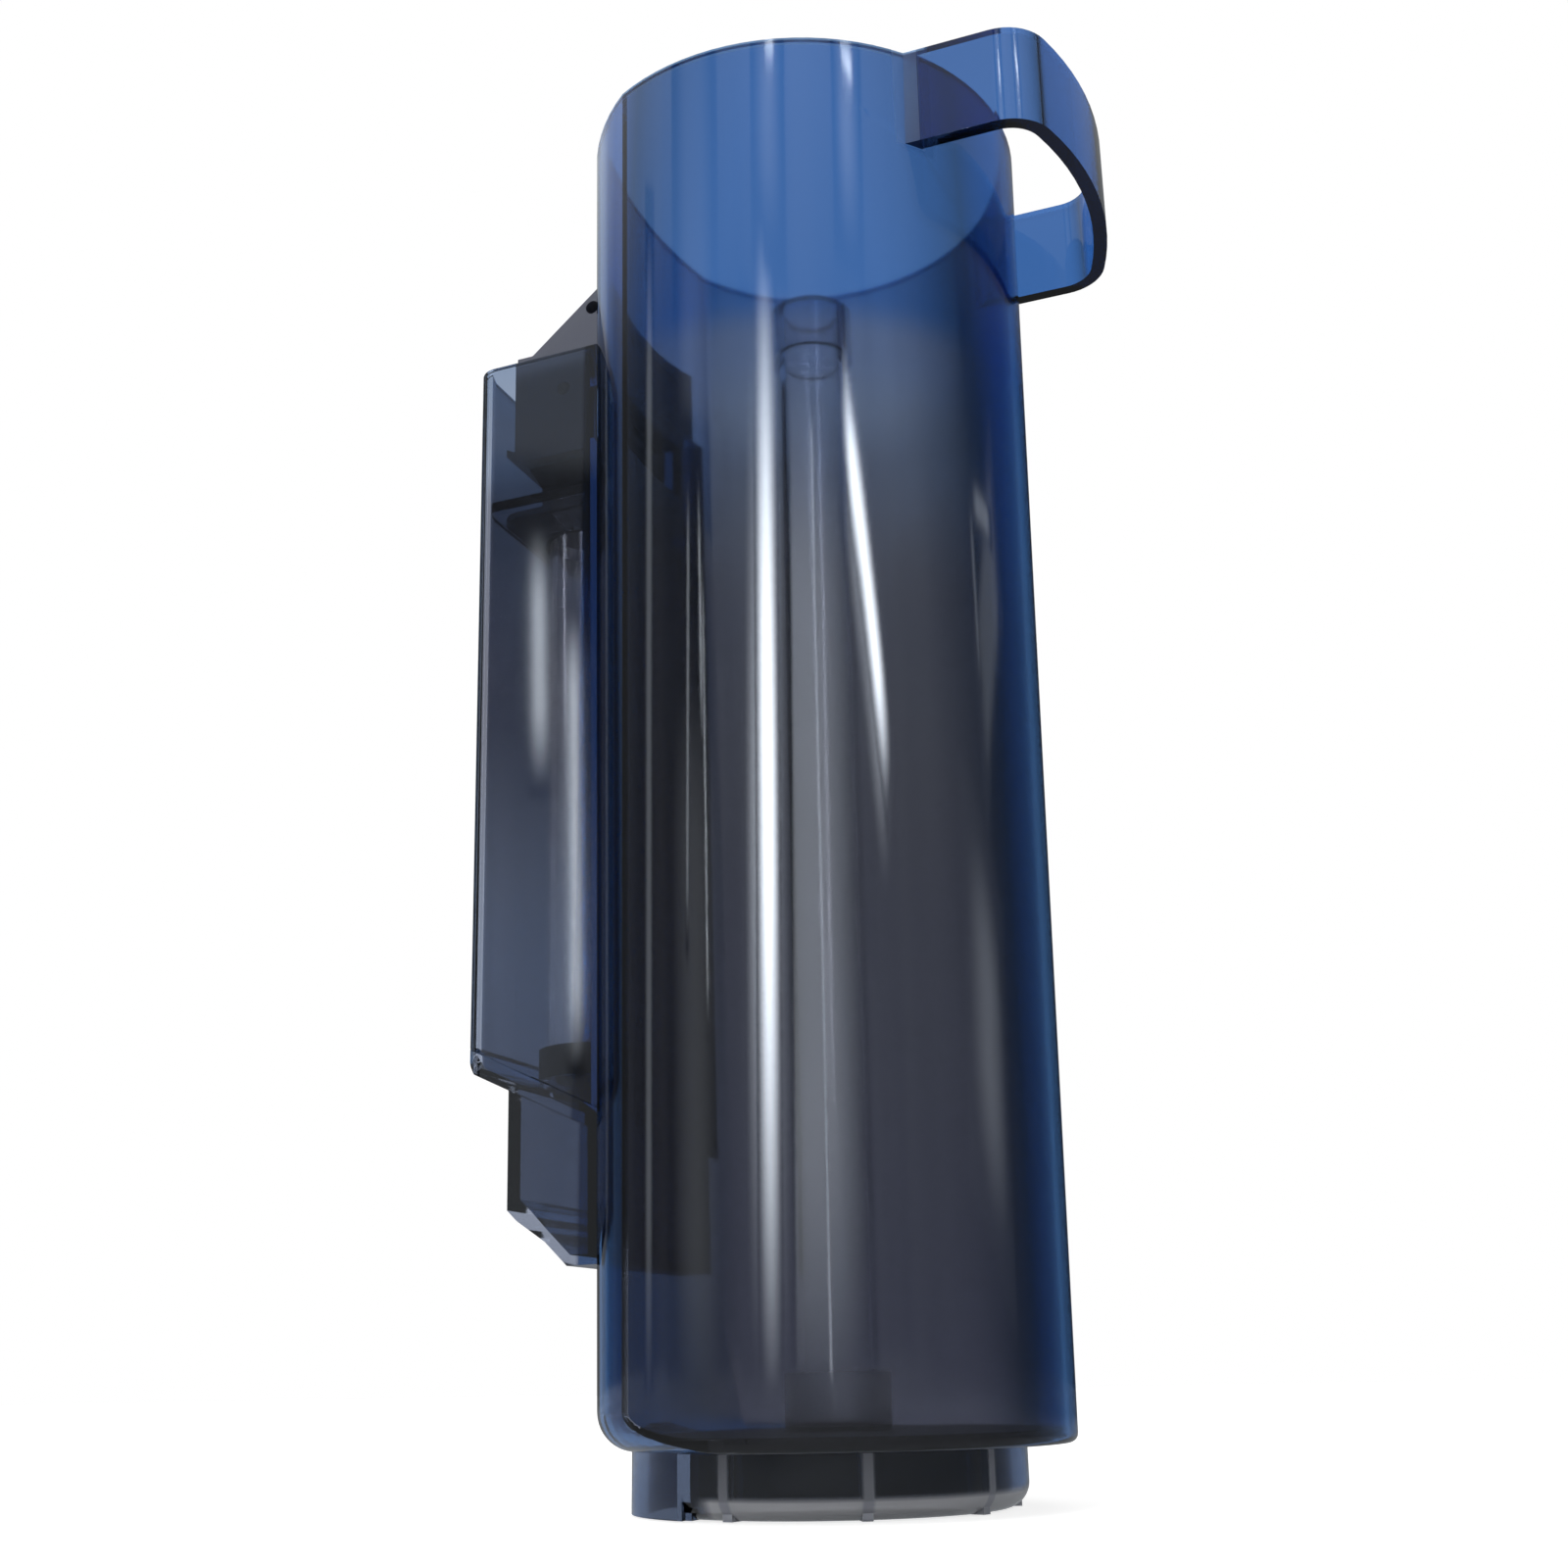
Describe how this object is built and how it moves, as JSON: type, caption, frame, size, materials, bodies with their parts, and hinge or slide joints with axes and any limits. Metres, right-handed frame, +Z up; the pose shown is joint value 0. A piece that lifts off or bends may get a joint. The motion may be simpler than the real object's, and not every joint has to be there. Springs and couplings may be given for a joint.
{
  "type": "dirty water tank",
  "caption": "Tall clear water tank with a loop handle, an inner standpipe, a ribbed foot with a rubber inlet gasket and a rear column under a ported hood.",
  "frame": {"origin": "on the tank's axis, at the lower face of the foot", "axes": "+Z up along the tank to its mouth, +X towards the handle, -X towards the rear column"},
  "size_m": [0.1179, 0.086, 0.2465],
  "materials": {
    "tank_clear": "gloss",
    "pipe_clear": "gloss",
    "column_clear": "gloss",
    "foot_clear": "gloss",
    "floor_plastic": "satin",
    "hood_plastic": "satin",
    "seal_rubber": "matte"
  },
  "bodies": {
    "root": {"tank_shell": "tank_clear", "tank_floor": "floor_plastic", "floor_seal": "seal_rubber", "standpipe": "pipe_clear", "standpipe_tip": "pipe_clear", "standpipe_seal": "seal_rubber", "base_foot": "foot_clear", "coupling_gasket": "seal_rubber", "rear_housing": "column_clear", "deck_plate": "column_clear", "deck_seal": "seal_rubber", "rear_sump": "column_clear", "rear_pipe": "pipe_clear", "pipe_socket": "seal_rubber", "neck_seal": "seal_rubber", "hood": "hood_plastic", "port_seal": "seal_rubber"}
  },
  "joints": []
}
